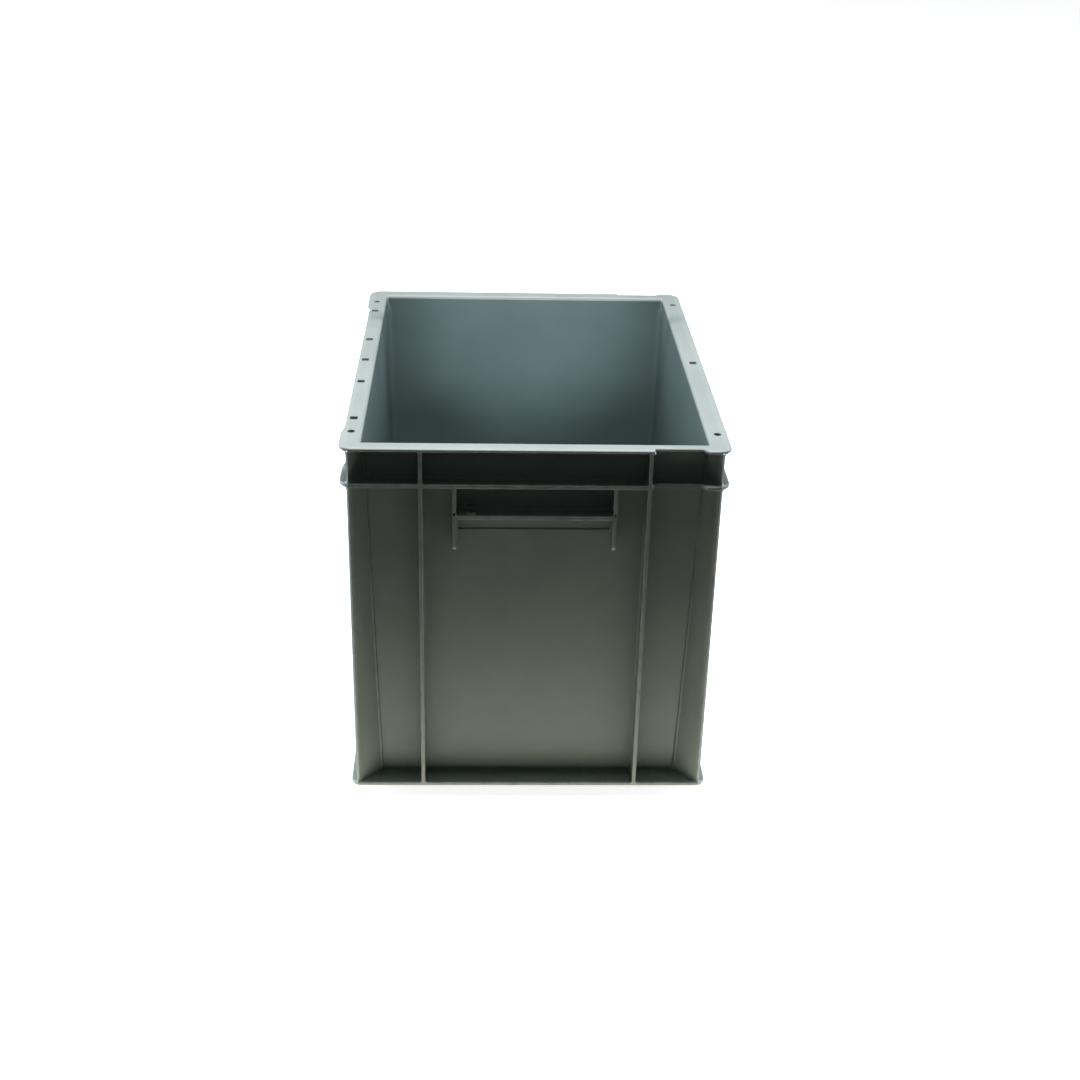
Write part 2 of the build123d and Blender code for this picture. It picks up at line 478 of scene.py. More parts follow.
        patchy = add_node(
            tree, "ShaderNodeMapRange",
            {"From Min": 0.3, "From Max": 0.6,
             "To Min": self.PATCH_WEAR_AND_HIGHLIGHT * self.wear_and_highlight, "To Max": self.wear_and_highlight},
            {"Value": chatter.outputs["Fac"]})
        # The paling at each spot, strongest on rounded outermost edges: rubbing and painted highlight
        # together.
        rubbed_and_highlit = add_node(
            tree, "ShaderNodeMath", {"operation": "MULTIPLY"},
            {0: rounded.outputs["Result"], 1: patchy.outputs["Result"]})
        share = add_node(
            tree, "ShaderNodeMath", {"operation": "MULTIPLY"},
            {0: rubbed_and_highlit.outputs["Value"], 1: outermost.outputs["Result"]})
        return add_node(
            tree, "ShaderNodeMix", {"data_type": "RGBA", 7: srgb(self.rubbed_and_highlit)},
            {0: share.outputs["Value"], 6: colour}).outputs[2]

    def texture(self, tree: Tree, place: Socket) -> Socket:
        """The mould's spark-eroded texture; its real grain of 0.1 mm is drawn coarser, to show."""
        grain = add_node(
            tree, "ShaderNodeTexNoise", {"Scale": 1 / (self.grain_mm * MM), "Detail": 3.0},
            {"Vector": place}).outputs["Fac"]
        return add_node(
            tree, "ShaderNodeBump", {"Strength": 0.5, "Distance": self.grain_depth_mm * MM},
            {"Height": grain}).outputs["Normal"]


@dataclass(frozen=True)
class StudioSurface:
    """A matt surface of the studio.

    Attributes:
        name: Name of the material.
        colour: Its colour.
        glow: Light that it sends out itself, as a lit acrylic table does.
    """

    name: str
    colour: str
    glow: float = 0.0

    def material(self) -> bpy.types.Material:
        """Make the surface's material.

        Returns:
            The material.
        """
        made = bpy.data.materials.new(self.name)
        made.use_nodes = True
        tree = made.node_tree
        tree.nodes.clear()
        paint = srgb(self.colour)
        shader = add_node(
            tree, "ShaderNodeBsdfPrincipled",
            {"Base Color": paint, "Roughness": 0.9,
             "Emission Color": paint, "Emission Strength": self.glow})
        add_node(tree, "ShaderNodeOutputMaterial", links={"Surface": shader.outputs["BSDF"]})
        return made


class Finish(Enum):
    """The finishes on the crate."""

    # Spark-eroded cavity side: a soft, even satin that scatters light. Its outermost faces and edges
    # are paled, partly as rubbing and partly as a painted highlight.
    OUTSIDE = MouldedPlastic(
        "polypropylene, spark-textured", "#84918c", "#88958f", "#808d88", "#cfd6d2",
        0.44, 0.04, 1.2, 0.04, 0.3, 0.9)
    # The same satin on the corner fins, whose faces stand at 45 degrees, with the same paled edges,
    # partly a painted highlight.
    FIN = replace(OUTSIDE, name="polypropylene, spark-textured, diagonal", turn=45.0)
    # Core side, polished along the draw so that the crate leaves the mould: a little glossier. Its
    # colour is darker and bluer than the outside's: painted shade for the inside of the tub.
    INSIDE = MouldedPlastic(
        "polypropylene, draw-polished", "#5c6b6a", "#5f6e6d", "#596867", "#b9c3be",
        0.38, 0.04, 1.6, 0.02, 0.2, 0.0)
    # Rim, scuffed by the crates and lids that stand on it: paler hairlines and a duller shine. Its
    # outer edges are paled, partly as rubbing and partly as a painted highlight.
    RIM = MouldedPlastic(
        "polypropylene, stack-rubbed", "#868c88", "#8a918d", "#828884", "#9da39f",
        0.5, 0.05, 1.2, 0.04, 0.45, 0.5, (1 / 6, 1 / 12, 1.0))


# ---------------------------------------------------------------- sizes from the frame


@dataclass(frozen=True)
class Sizes:
    """Levels and half sizes of the crate, read from the CAD frame, in metres."""

    low_tub: Vector = field(default_factory=lambda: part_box("floor_panel")[1])
    high_tub: Vector = field(default_factory=lambda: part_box("tub_corner_back_right")[1])
    rim_low: Vector = field(default_factory=lambda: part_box("rim_front")[0])
    rim_high: Vector = field(default_factory=lambda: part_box("rim_right")[1])
    band_low: Vector = field(default_factory=lambda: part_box("band_front")[0])
    band_high: Vector = field(default_factory=lambda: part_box("band_right")[1])
    flange_low: Vector = field(default_factory=lambda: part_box("base_flange_front")[0])
    flange_high: Vector = field(default_factory=lambda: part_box("base_flange_right")[1])
    wall: float = 2.5 * MM
    tub_corner: float = 8.0 * MM

    def tub(self, height: float, out: float = 0.0) -> tuple[float, float]:
        """Half sizes of the drafted tub.

        Args:
            height: Level above the ground.
            out: How far outside the tub's outer face.

        Returns:
            Half the size along X and along Y.
        """
        low, high = Vector(self.low_tub), Vector(self.high_tub)
        share = (height - low.z) / (high.z - low.z)
        return tuple(low[axis] + share * (high[axis] - low[axis]) + out for axis in (0, 1))


# ---------------------------------------------------------------- the shell


@dataclass(frozen=True)
class Station:
    """One place round the shell.

    Attributes:
        anchor: Centre of the corner's arc there, as shares of the half sizes.
        way: Way out of that centre.
        dip: Depth of the rim's setback there.
    """

    anchor: tuple[float, float]
    way: tuple[float, float]
    dip: float = 0.0


@dataclass(frozen=True)
class Level:
    """One ring of the shell.

    Attributes:
        half: Half sizes along X and Y.
        corner: Radius of its corners.
        height: Level above the ground.
        dipped: Whether it follows the rim's setbacks.
    """

    half: tuple[float, float]
    corner: float
    height: float
    dipped: bool = False

    def ring(self, stations: list[Station]) -> list[Vector]:
        """Points of this level, one for each station.

        Args:
            stations: The places round the shell.

        Returns:
            The points, in the order of the stations.
        """
        points = []
        for station in stations:
            out = self.corner - (station.dip if self.dipped else 0.0)
            flat = [
                anchor * (half - self.corner) + way * out
                for anchor, way, half in zip(station.anchor, station.way, self.half)
            ]
            points.append(Vector((*flat, self.height)))
        return points


@dataclass(frozen=True)
class Setback:
    """A shallow setback in one edge of the rim: where its ramps start and end, and its depth."""

    start: float
    start_ramp: float
    end: float
    end_ramp: float
    depth: float

    def dip(self, place: float) -> float:
        """Depth of the setback at a place along the edge.

        Args:
            place: Place along the edge.

        Returns:
            The depth, with soft ramps.
        """
        rise = min((place - self.start) / self.start_ramp, (self.end - place) / self.end_ramp)
        share = min(max(rise, 0.0), 1.0)
        return self.depth * share * share * (3 - 2 * share)

    def places(self, steps: int = 6) -> list[float]:
        """Places along the edge that draw both ramps."""
        shares = [step / steps for step in range(steps + 1)]
        return [self.start + share * self.start_ramp for share in shares] + [
            self.end - share * self.end_ramp for share in shares]


@dataclass
class Shell:
    """The tub with its rim, band, base flange and foot, as one skin of even wall.

    Attributes:
        sizes: Sizes read from the frame.
        edge: Radius of the edges of the band, the base flange and the foot.
        rim_edge: Radius of the rim's edges, almost half its thickness.
        fillet: Radius where flanges meet the wall.
        mouth_lip: Radius of the rounded lip inside the mouth.
        blend_depth: Height over which the mouth's sharper corners blend into the tub's.
        hole_rounding: Radius of the edges of the holes and slots.
        hollow_half: Half the width of the hollow behind each handle.
        hollow_height: How far that hollow reaches down from the band.
        hair: Margin that keeps a cut or a change of finish clear of a face.
    """

    INSIDE_SLOT: ClassVar[int] = 1
    RIM_SLOT: ClassVar[int] = 2
    sizes: Sizes
    edge: float = 0.7 * MM
    rim_edge: float = 1.4 * MM
    fillet: float = 1.5 * MM
    mouth_lip: float = 3.0 * MM
    mouth_corner: float = 1.0 * MM
    rim_corner: float = 11.0 * MM
    flange_corner: float = 8.0 * MM
    foot_wall: float = 3.0 * MM
    floor_fillet: float = 4.0 * MM
    blend_depth: float = 16.0 * MM
    arc_steps: int = 4
    corner_steps: int = 8
    side_step: float = 25.0 * MM
    slot_half: float = 3.0 * MM
    hole_radius: float = 3.0 * MM
    hole_rounding: float = 0.25 * MM
    hollow_half: float = 61.5 * MM
    hollow_height: float = 40.5 * MM
    hollow_depth: float = 0.7 * MM
    hair: float = 0.3 * MM
    left_setback: Setback = Setback(-168 * MM, 16 * MM, 154 * MM, 6 * MM, 2.2 * MM)
    front_setback: Setback = Setback(90 * MM, 1 * MM, 133 * MM, 6 * MM, 5 * MM)
    back_setback: Setback = Setback(90 * MM, 1 * MM, 133 * MM, 6 * MM, 3 * MM)

    def stations(self) -> list[Station]:
        """Places round the shell, anticlockwise from the middle of the right side's start.

        Returns:
            The places, corner by corner.
        """
        half_x, half_y = self.sizes.rim_high.x, -self.sizes.rim_low.y
        run_x, run_y = half_x - self.rim_corner, half_y - self.rim_corner
        made: list[Station] = []
        sides = (
            ((1.0, 0.0), run_y, None), ((0.0, 1.0), run_x, self.back_setback),
            ((-1.0, 0.0), run_y, self.left_setback), ((0.0, -1.0), run_x, self.front_setback))
        for way, run, setback in sides:
            along = (-way[1], way[0])
            turn = along[0] + along[1]
            steps = round(2 * run / self.side_step)
            places = {round(-run + 2 * run * step / steps, 7) for step in range(steps + 1)}
            if setback:
                places |= {round(turn * place, 7) for place in setback.places()}
            for place in sorted(places):
                share = place / run
                anchor = (way[0] + along[0] * share, way[1] + along[1] * share)
                made.append(Station(anchor, way, setback.dip(turn * place) if setback else 0.0))
            start = math.atan2(way[1], way[0])
            corner = (way[0] + along[0], way[1] + along[1])
            for angle in quarter(self.corner_steps)[1:-1]:
                made.append(Station(corner, (math.cos(start + angle), math.sin(start + angle))))
        return made

    def on_tub(self, height: float, out: float = 0.0) -> Level:
        """Ring on the tub's outer face, or outside it."""
        return Level(self.sizes.tub(height, out), self.sizes.tub_corner + out, height)

    def in_tub(self, height: float, out: float, corner: float) -> Level:
        """Ring on the tub's inner face, moved out by a little, with a corner radius of its own."""
        return Level(self.sizes.tub(height, out - self.sizes.wall), corner + out, height)

    def flange(self, half: tuple[float, float], corner: float, low: float, high: float,
               edge: float, dipped: bool) -> list[Level]:
        """Rings of one flange, from the fillet under it round its edge to the fillet on top.

        Args:
            half: Half sizes of its outline.
            corner: Radius of its corners.
            low: Level of its underside.
            high: Level of its top.
            edge: Radius of its edges.
            dipped: Whether it follows the rim's setbacks.

        Returns:
            The rings, from the lowest.
        """
        turns = arc(self.arc_steps)
        under = [self.on_tub(low - self.fillet * near, self.fillet * far) for near, far in turns]
        lower_edge = [
            Level(self._inset(half, edge * near), corner - edge * near, low + edge * far, dipped)
            for near, far in turns]
        upper_edge = [
            Level(self._inset(half, edge * far), corner - edge * far, high - edge * near, dipped)
            for near, far in turns]
        over = [self.on_tub(high + self.fillet * far, self.fillet * near) for near, far in turns]
        return under + lower_edge + upper_edge + over

    @staticmethod
    def _inset(half: tuple[float, float], inset: float) -> tuple[float, float]:
        """Half sizes moved in by the same amount both ways."""
        return (half[0] - inset, half[1] - inset)

    def levels(self) -> list[Level]:
        """Rings of the whole skin, from under the floor, round the outside and down to the floor.

        Returns:
            The rings, in the order in which the skin is drawn.
        """
        size = self.sizes
        base_low, base_high = size.flange_low.z, size.flange_high.z
        rim_half = (size.rim_high.x, -size.rim_low.y)
        flange_half = (size.flange_high.x, -size.flange_low.y)
        foot = [
            self.on_tub(base_low, -self.foot_wall),
            self.on_tub(self.edge, -self.foot_wall),
            self.on_tub(0.0, self.edge - self.foot_wall),
            self.on_tub(0.0, -self.edge),
            self.on_tub(self.edge, 0.0),
        ]
        base = self.flange(flange_half, self.flange_corner, base_low, base_high, self.edge, False)
        top = size.rim_high.z
        band = self.flange(
            rim_half, self.rim_corner, size.band_low.z, size.band_high.z, self.edge, True)
        rim = self.flange(rim_half, self.rim_corner, size.rim_low.z, top, self.rim_edge, True)
        rim = rim[:-(self.arc_steps + 1)]
        lip = [
            self.in_tub(top - self.mouth_lip * far, self.mouth_lip * near, self.mouth_corner)
            for near, far in arc(self.arc_steps + 2)]
        inner_corner = size.tub_corner - size.wall
        growth = inner_corner - self.mouth_corner
        below = top - self.mouth_lip
        blend = [
            self.in_tub(below - self.blend_depth * share, 0.0,
                        self.mouth_corner + growth * math.sin(share * math.pi / 2))
            for share in (0.2, 0.4, 0.6, 0.8, 1.0)]
        floor = [
            self.in_tub(base_high + self.floor_fillet * near, -self.floor_fillet * far, inner_corner)
            for near, far in arc(self.arc_steps)]
        return foot + base + band + rim + lip + blend + floor

    def build(self) -> Piece:
        """Draw the skin and cut its holes.

        Returns:
            The shell as one object.
        """
        stations = self.stations()
        rings = [level.ring(stations) for level in self.levels()]
        skin = Loft(rings[0])
        for ring in rings[1:]:
            skin.grow(ring)
        shell = as_object("crate_shell", skin.close())
        carve(shell, self.rim_holes())
        for side in SIGNS:
            carve(shell, self.handle_hollow(side))
        return shell

    def rim_holes(self) -> Mesh:
        """Cutters for the lid slots and the round corner holes, where the record has its openings.

        Returns:
            One mesh with all the cutters.
        """
        cutters = bmesh.new()
        for opening in frame["record"]["physics"]["openings"]:
            low, high = (Vector(corner) for corner in opening["box_m"])
            middle = (low + high) / 2
            if "slot" in opening["name"]:
                reach = Vector((self.slot_half, self.slot_half, high.z - middle.z))
                absorb(cutters, block(middle - reach, middle + reach))
            elif "hole" in opening["name"]:
                drill = bmesh.new()
                bmesh.ops.create_cone(
                    drill, cap_ends=True, segments=32, radius1=self.hole_radius,
                    radius2=self.hole_radius, depth=high.z - low.z, matrix=Matrix.Translation(middle))
                absorb(cutters, drill)
        return cutters

    def handle_hollow(self, side: int) -> Mesh:
        """Cutter for the shallow hollow behind one handle.

        Args:
            side: -1 at the front, 1 at the back.

        Returns:
            A block whose inner face follows the drafted wall.
        """
        band_under = self.sizes.band_low.z
        rings = []
        for height in (band_under - self.hollow_height, band_under - self.hair):
            near = self.sizes.tub(height, -self.hollow_depth)[1]
            far = near + self.hollow_height
            rings.append([
                Vector((x, side * y, height))
                for x, y in ((-self.hollow_half, near), (self.hollow_half, near),
                             (self.hollow_half, far), (-self.hollow_half, far))])
        cutter = Loft(rings[0])
        cutter.grow(rings[1])
        return cutter.close()

    def dress(self, shell: Piece) -> None:
        """Give the shell its three finishes: outside, inside (painted darker, as shade in the tub) and
        rim.

        Args:
            shell: The shell, drawn and cut.
        """
        parts = ("wall", "rim", "band", "base_flange", "foot")
        nodes = ["floor_panel", *(f"{part}_{side}" for part in parts for side in ENDS + SIDES)]
        nodes += [f"tub_corner_{end}_{side}" for end in ENDS for side in SIDES]
        finish_piece(shell, nodes, Finish.OUTSIDE, self.hole_rounding)
        shell.data.materials.append(Finish.INSIDE.value.material())
        shell.data.materials.append(Finish.RIM.value.material())
        lip = self.sizes.rim_high.z - self.mouth_lip
        for face in shell.data.polygons:
            half_x, half_y = self.sizes.tub(face.center.z, -self.sizes.wall / 2)
            within = abs(face.center.x) < half_x and abs(face.center.y) < half_y
            if face.center.z > self.sizes.rim_low.z:
                face.material_index = self.RIM_SLOT
            # Faces inside the tub take the inside finish, whose darker colour is painted shade.
            if within and self.sizes.flange_high.z - self.hair < face.center.z < lip:
                face.material_index = self.INSIDE_SLOT


# ---------------------------------------------------------------- blades: ribs, fins and handles


@dataclass(frozen=True)
class Slice:
    """One cross-section of a blade.

    Attributes:
        along: Place along the blade.
        root: Where the wall's face is, outwards.
        edge: Where the blade's outer edge is, outwards.
        half: Half the blade's thickness.
    """

    along: float
    root: float
    edge: float
    half: float


@dataclass
class Blade:
    """A flat rib that stands out of a wall, with a filleted root and a rounded edge.

    Attributes:
        name: Name of the piece.
        place: Turns along, out and across into a point of the crate.
        slices: Cross-sections from one end to the other.
        root_fillet: Radius where the blade meets the wall.
        rounding: Radius of the outer edges.
        embed: How deep the root sinks into the wall.
        arc_steps: Facets across each rounded edge and fillet.
    """

    name: str
    place: Callable[[float, float, float], Vector]
    slices: list[Slice]
    root_fillet: float = 1.0 * MM
    rounding: float = 0.6 * MM
    embed: float = 1.0 * MM
    arc_steps: int = 3

    def ring(self, cut: Slice) -> list[Vector]:
        """Outline of one cross-section, round from one side of the root to the other.

        Args:
            cut: The cross-section.

        Returns:
            Its points, placed on the crate.
        """
        fillet, rounding = self.root_fillet, self.rounding
        edge = max(cut.edge, cut.root + fillet + rounding)
        side = [(cut.root - self.embed, cut.half + fillet)]
        turns = arc(self.arc_steps)
        side += [(cut.root + fillet * far, cut.half + fillet * near) for near, far in turns]
        side += [(edge - rounding * near, cut.half - rounding * far) for near, far in turns]
        outline = side + [(out, -across) for out, across in reversed(side)]
        return [self.place(cut.along, out, across) for out, across in outline]

    def build(self) -> Piece:
        """Draw the blade through its cross-sections.

        Returns:
            The blade as one object.
        """
        skin = Loft(self.ring(self.slices[0]))
        for cut in self.slices[1:]:
            skin.grow(self.ring(cut))
        return as_object(self.name, skin.close())


def flare(gap: float, reach: float, height: float | None = None) -> float:
    """How far a concave fillet stands out at a distance from the face it runs into.

    Args:
        gap: Distance from that face.
        reach: How far the fillet stands out at the face.
        height: How far up it starts, or the same as reach.

    Returns:
        The extra width, which falls from reach to nothing.
    """
    share = min(max(gap, 0.0) / (height or reach), 1.0)
    return reach * (1 - math.sqrt(1 - (1 - share) ** 2))


@dataclass
class Uprights:
    """The upright ribs and corner fins, each from the base flange through the band to the rim.

    Attributes:
        sizes: Sizes read from the frame.
        half: Half the thickness of a rib.
        hair: How far a blade's edge stays inside the flanges' edges.
        end_draft: How much further in the short sides' ribs are at the base.
        side_inset: How far the long sides' ribs stay inside the rim.
        side_draft: How much further in they are at the base.
        fin_tip: Edge of the back right fin, seen from above.
        fin_draft: How much further in that edge is at the base.
        end_flare: Radius of the fillets where a rib runs into a flange.
        fin_reach: How far a fin's edge flares out under a flange.
        fin_rise: Height over which it does.
        embed: How far a blade's ends sink into the flanges.
    """

    sizes: Sizes
    half: float = 1.5 * MM
    hair: float = 0.05 * MM
    end_draft: float = 1.9 * MM
    side_inset: float = 2.6 * MM
    side_draft: float = 1.0 * MM
    fin_tip: tuple[float, float] = (143.5 * MM, 197.0 * MM)
    fin_draft: float = 1.0 * MM
    end_flare: float = 1.4 * MM
    fin_reach: float = 1.7 * MM
    fin_rise: float = 5.0 * MM
    embed: float = 1.0 * MM

    @property
    def runs(self) -> tuple[tuple[float, float], ...]:
        """Lowest and highest levels of the two free stretches between the flanges."""
        size = self.sizes
        return (size.flange_high.z, size.band_low.z), (size.band_high.z, size.rim_low.z)

    def gap(self, height: float) -> float:
        """Distance from a height to the nearest flange face, or none inside a flange."""
        return max(min(height - low, high - height) for low, high in self.runs)

    def heights(self, reach: float) -> list[float]:
        """Heights at which an upright is drawn, close together where it flares.

        Args:
            reach: Height of the flare at each end.

        Returns:
            The heights, from the lowest.
        """
        made = [self.sizes.flange_high.z - self.embed]
        for low, high in self.runs:
            made += [low + reach * share for share in FLARE_SHARES]
            made += [high - reach * share for share in reversed(FLARE_SHARES)]
        return made + [self.sizes.rim_low.z + self.embed]

    def drafted(self, height: float, edge: float, draft: float) -> float:
        """Outer edge at a height: drafted up to the band and upright above it.

        Args:
            height: Level above the ground.
            edge: Place of the edge at the band.
            draft: How much further in it is at the base.

        Returns:
            The edge's place at that height.
        """
        low, high = self.sizes.flange_high.z, self.sizes.band_low.z
        share = min(max((height - low) / (high - low), 0.0), 1.0)
        return edge - draft * (1 - share) - self.hair

    def thickness(self, height: float) -> float:
        """Half the thickness at a height, flared where the blade runs into a flange."""
        return self.half + flare(self.gap(height), self.end_flare)

    def ribs(self, axis: int, edge: float, draft: float) -> list[tuple[Blade, list[str]]]:
        """Ribs of the two sides that face along one axis.

        Args:
            axis: The axis, 0 for X and 1 for Y.
            edge: How far out the ribs' edges are.
            draft: How much further in they are at the base.

        Returns:
            The ribs, each with the CAD nodes it stands for.
        """
        slices = [
            Slice(z, self.sizes.tub(z)[axis], self.drafted(z, edge, draft), self.thickness(z))
            for z in self.heights(self.end_flare)]
        faces, spots = (ENDS, SIDES) if axis else (SIDES, ENDS)
        made = []
        for face, sign in zip(faces, SIGNS):
            for name in (f"{face}_{spot}" for spot in spots):
                low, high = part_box(f"lower_rib_{name}")
                middle = (low[1 - axis] + high[1 - axis]) / 2
                blade = Blade(
                    f"rib_{name}",
                    lambda along, out, across, middle=middle, sign=sign: Vector(
                        (middle + across, sign * out, along) if axis
                        else (sign * out, middle + across, along)),
                    slices)
                made.append((blade, [f"lower_rib_{name}", f"upper_rib_{name}"]))
        return made

    def fin_slice(self, height: float) -> Slice:
        """Cross-section of a corner fin; out runs along the diagonal through the fin's edge.

        Args:
            height: Level above the ground.

        Returns:
            The cross-section.
        """
        corner = self.sizes.tub_corner
        centre_x, centre_y = (half - corner for half in self.sizes.tub(height))
        shift = self.fin_tip[1] - self.fin_tip[0]
        aside = (centre_y - centre_x - shift) * HALF_ROOT
        root = (centre_x + centre_y - shift) * HALF_ROOT + math.sqrt(corner ** 2 - aside ** 2)
        tip = self.drafted(height, self.fin_tip[0] / HALF_ROOT, self.fin_draft)
        tip += flare(self.gap(height), self.fin_reach, self.fin_rise)
        return Slice(height, root, tip, self.thickness(height))

    def fins(self) -> list[tuple[Blade, list[str]]]:
        """The four corner fins.

        Returns:
            The fins, each with the CAD nodes it stands for.
        """
        slices = [self.fin_slice(z) for z in self.heights(self.fin_rise)]
        shift = self.fin_tip[1] - self.fin_tip[0]
        made = []
        for end, y in zip(ENDS, SIGNS):
            for side, x in zip(SIDES, SIGNS):
                blade = Blade(
                    f"corner_fin_{end}_{side}",
                    lambda along, out, across, x=x, y=y: Vector((
                        x * (out - across) * HALF_ROOT,
                        y * (shift + (out + across) * HALF_ROOT), along)),
                    slices)
                made.append((blade, [f"lower_fin_{end}_{side}", f"upper_fin_{end}_{side}"]))
        return made

    def build(self) -> None:
        """Draw, dress and place every rib and fin."""
        end_ribs = self.ribs(1, -self.sizes.rim_low.y, self.end_draft)
        side_ribs = self.ribs(0, self.sizes.rim_high.x - self.side_inset, self.side_draft)
        for blade, nodes in end_ribs + side_ribs:
            finish_piece(blade.build(), nodes, Finish.OUTSIDE)
        for blade, nodes in self.fins():
            finish_piece(blade.build(), nodes, Finish.FIN)


@dataclass
class Handle:
    """A grip ledge between two short ribs, under the band of one short side.

    Attributes:
        sizes: Sizes read from the frame.
        end: Which end of the crate, front or back.
        half: Half the thickness of the ledge and the ribs.
        hair: How far the edges stay inside the rim's edge.
        embed: How far a blade's ends sink into what they meet.
        end_flare: Radius of the fillets at those ends.
        toe_rise: Height of the sloping lower end of each rib.
        hollow_depth: Depth of the hollow in the wall behind the ledge.
        notch: Width, depth and height of the notch in each rib above the ledge.
        card_slot: Width and depth of the slot through the ledge.
        card_place: Middle of that slot along X, and outwards.
        clip_run: Ends of the bars above the slot, along X.
        clip_rises: Height of each bar's underside above the ledge.
        clip_height: Height of one bar.
        clip_reach: How far the bars stand out of the wall.
        clip_sink: How far they sink into it.
        clip_rounding: Radius of their edges.
        rib_rounding: Radius of the edges of the ribs' notches.
        ledge_rounding: Radius of the edges of the card slot.
    """

    sizes: Sizes
    end: str
    half: float = 1.5 * MM
    hair: float = 0.05 * MM
    embed: float = 1.0 * MM
    end_flare: float = 1.0 * MM
    toe_rise: float = 7.0 * MM
    hollow_depth: float = 0.7 * MM
    notch: tuple[float, float, float] = (1.8 * MM, 8.0 * MM, 2.4 * MM)
    card_slot: tuple[float, float] = (6.0 * MM, 4.0 * MM)
    card_place: tuple[float, float] = (-48.5 * MM, 195.0 * MM)
    clip_run: tuple[float, float] = (-51.7 * MM, -45.1 * MM)
    clip_rises: tuple[float, ...] = (2.2 * MM, 4.6 * MM)
    clip_height: float = 1.3 * MM
    clip_reach: float = 2.4 * MM
    clip_sink: float = 0.6 * MM
    clip_rounding: float = 0.3 * MM
    rib_rounding: float = 0.15 * MM
    ledge_rounding: float = 0.2 * MM

    @property
    def sign(self) -> int:
        """-1 at the front, 1 at the back."""
        return SIGNS[ENDS.index(self.end)]

    @property
    def edge(self) -> float:
        """How far out the handle's edges are."""
        return -self.sizes.rim_low.y - self.hair

    def rib(self, side: str) -> Piece:
        """One of the two short ribs, notched where the ledge meets it.

        Args:
            side: Which side of the handle, left or right.

        Returns:
            The rib as one object.
        """
        low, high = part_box(f"handle_rib_{self.end}_{side}")
        middle = (low.x + high.x) / 2
        top, toe = high.z, low.z
        heights = [top + self.embed] + [top - self.end_flare * share for share in FLARE_SHARES]
        slices = [
            Slice(z, self.sizes.tub(z)[1], self.edge, self.half + flare(top - z, self.end_flare))
            for z in heights]
        for share in (0.0, 0.2, 0.4, 0.6, 0.8, 1.0):
            z = toe + self.toe_rise * (1 - share)
            root = self.sizes.tub(z)[1]
            bend = 1 - math.sqrt(1 - share ** 2)
            slices.append(Slice(z, root, self.edge + (root - self.edge) * bend, self.half))
        blade = Blade(
            f"grip_rib_{self.end}_{side}",
            lambda along, out, across: Vector((middle + across, self.sign * out, along)), slices)
        rib = blade.build()
        ledge_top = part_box(f"handle_ledge_{self.end}")[1].z
        reach = Vector(self.notch) / 2
        spot = Vector((middle, self.sign * (self.edge - reach.y + self.end_flare), ledge_top + reach.z))
        carve(rib, block(spot - reach, spot + reach))
        return rib

    def ledge(self) -> Piece:
        """The grip ledge, with its card slot.

        Returns:
            The ledge as one object.
        """
        low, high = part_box(f"handle_ledge_{self.end}")
        middle = (low.z + high.z) / 2
        root = self.sizes.tub(middle)[1] - self.hollow_depth
        half = high.x
        right = [half + self.embed] + [half - self.end_flare * share for share in (0.0, 0.25, 0.5, 1.0)]
        slices = [
            Slice(x, root, self.edge, self.half + flare(half - abs(x), self.end_flare))
            for x in [-x for x in right] + right[::-1]]
        blade = Blade(
            f"grip_ledge_{self.end}",
            lambda along, out, across: Vector((along, self.sign * out, middle + across)), slices)
        ledge = blade.build()
        reach = Vector((self.card_slot[0] / 2, self.card_slot[1] / 2, high.z - low.z))
        spot = Vector((self.card_place[0], self.sign * self.card_place[1], middle))
        carve(ledge, block(spot - reach, spot + reach))
        return ledge

    def clip(self) -> Piece:
        """Two small moulded bars on the wall above the card slot, which hold a card holder's tongue.

        Returns:
            Both bars as one object.
        """
        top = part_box(f"handle_ledge_{self.end}")[1].z
        wall = self.sizes.tub(top)[1] - self.hollow_depth
        near, far = sorted((self.sign * (wall - self.clip_sink), self.sign * (wall + self.clip_reach)))
        left, right = self.clip_run
        mesh = bmesh.new()
        for low in (top + rise for rise in self.clip_rises):
            absorb(mesh, block(
                Vector((left, near, low)), Vector((right, far, low + self.clip_height)),
                self.clip_rounding))
        return as_object(f"card_clip_{self.end}", mesh)

    def build(self) -> None:
        """Draw, dress and place the handle's pieces."""
        for side in SIDES:
            nodes = [f"handle_rib_{self.end}_{side}"]
            finish_piece(self.rib(side), nodes, Finish.OUTSIDE, self.rib_rounding)
        finish_piece(self.ledge(), [f"handle_ledge_{self.end}"], Finish.OUTSIDE, self.ledge_rounding)
        finish_piece(self.clip(), [], Finish.OUTSIDE)


